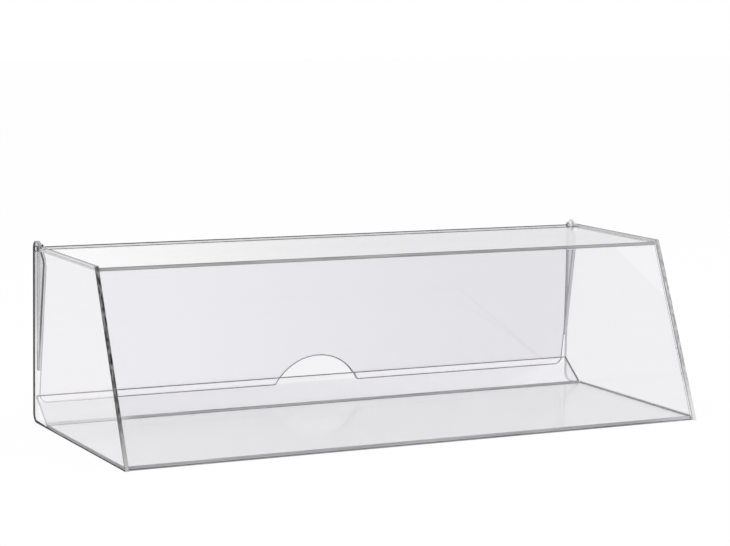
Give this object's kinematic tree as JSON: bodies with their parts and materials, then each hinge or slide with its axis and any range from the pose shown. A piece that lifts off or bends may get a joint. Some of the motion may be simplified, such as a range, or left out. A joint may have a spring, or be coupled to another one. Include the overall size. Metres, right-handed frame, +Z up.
{
  "type": "display case",
  "caption": "Low counter-top display case of clear acrylic, with a sloping front, a lipped base and a rear flap that lifts on hinge pins and has a finger notch.",
  "frame": {"origin": "middle of the case's underside, halfway between the side panels and halfway from the front edge of the side panels to their rear edge", "axes": "+Z up, -Y towards the sloping front that the customer sees, +Y towards the rear flap, +X to the right seen from the front"},
  "size_m": [0.6, 0.242, 0.1745],
  "materials": {
    "side_acrylic": "clear cast acrylic, 4 mm, polished edges",
    "sheet_acrylic": "clear cast acrylic, 3 mm, polished edges and heat-bent folds",
    "cheek_acrylic": "clear acrylic that reads slightly grey",
    "pin_steel": "turned steel, satin"
  },
  "bodies": {
    "case": {"left_side_panel": "side_acrylic", "right_side_panel": "side_acrylic", "top_panel": "sheet_acrylic", "front_panel": "sheet_acrylic", "base_tray": "sheet_acrylic"},
    "flap": {"rear_flap": "sheet_acrylic", "left_flap_cheek": "cheek_acrylic", "right_flap_cheek": "cheek_acrylic", "left_hinge_pin": "pin_steel", "right_hinge_pin": "pin_steel"}
  },
  "joints": [
    {"name": "flap_hinge", "type": "hinge", "parent": "case", "child": "flap", "pos_m": [0, 0.1125, 0.167], "axis": [1, 0, 0], "range_deg": [0, 202]}
  ]
}
